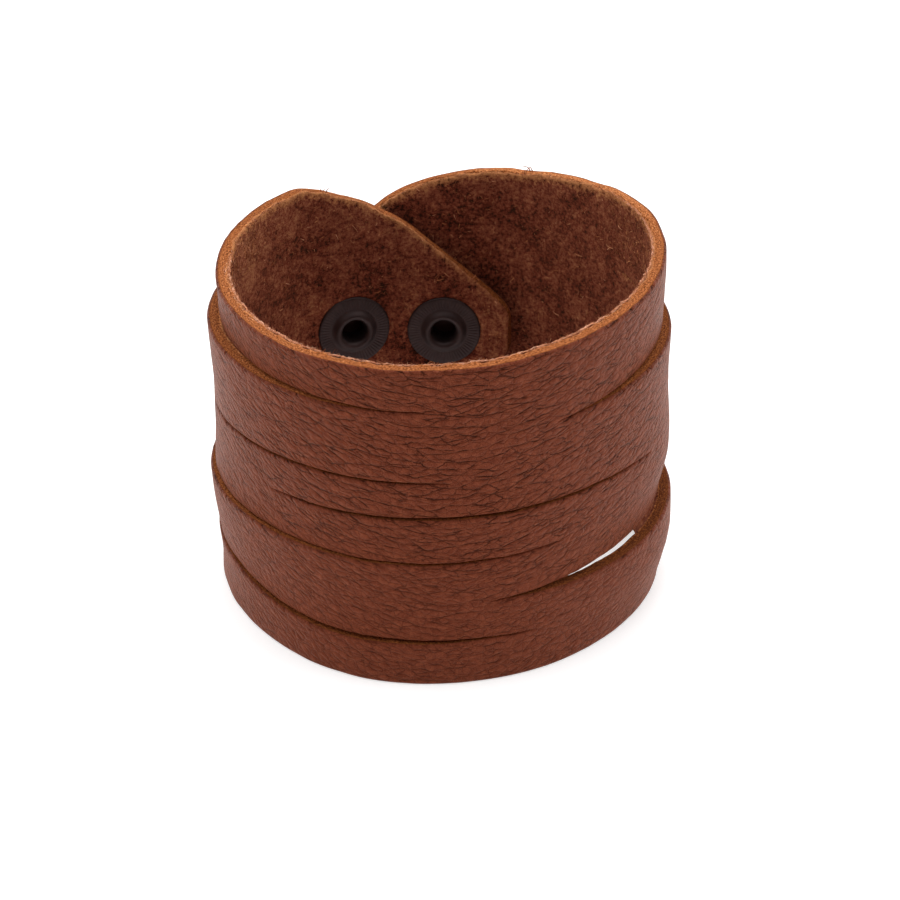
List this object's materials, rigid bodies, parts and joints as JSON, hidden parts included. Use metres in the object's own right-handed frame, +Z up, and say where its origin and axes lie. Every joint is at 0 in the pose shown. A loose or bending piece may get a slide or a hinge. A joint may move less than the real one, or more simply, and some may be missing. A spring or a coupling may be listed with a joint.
{
  "type": "leather cuff bracelet",
  "caption": "Wide leather cuff bracelet, slit into curved strips that stand out round its front, closed at the back by press snaps.",
  "frame": {"origin": "on the surface the cuff stands on, under the middle of its box", "axes": "+Z up along the wrist's axis, -Y towards the slit front, +Y towards the closure"},
  "size_m": [0.0688, 0.0704, 0.0532],
  "materials": {
    "leather": "tumbled grain, semi-matt",
    "snap_metal": "dark gunmetal plating, polished"
  },
  "bodies": {
    "root": {"leather_band": "leather", "snap_eyelet_left": "snap_metal", "snap_eyelet_right": "snap_metal", "snap_stud_left": "snap_metal", "snap_stud_right": "snap_metal", "snap_socket_left": "snap_metal", "snap_socket_right": "snap_metal", "snap_cap_left": "snap_metal", "snap_cap_right": "snap_metal"}
  },
  "joints": []
}
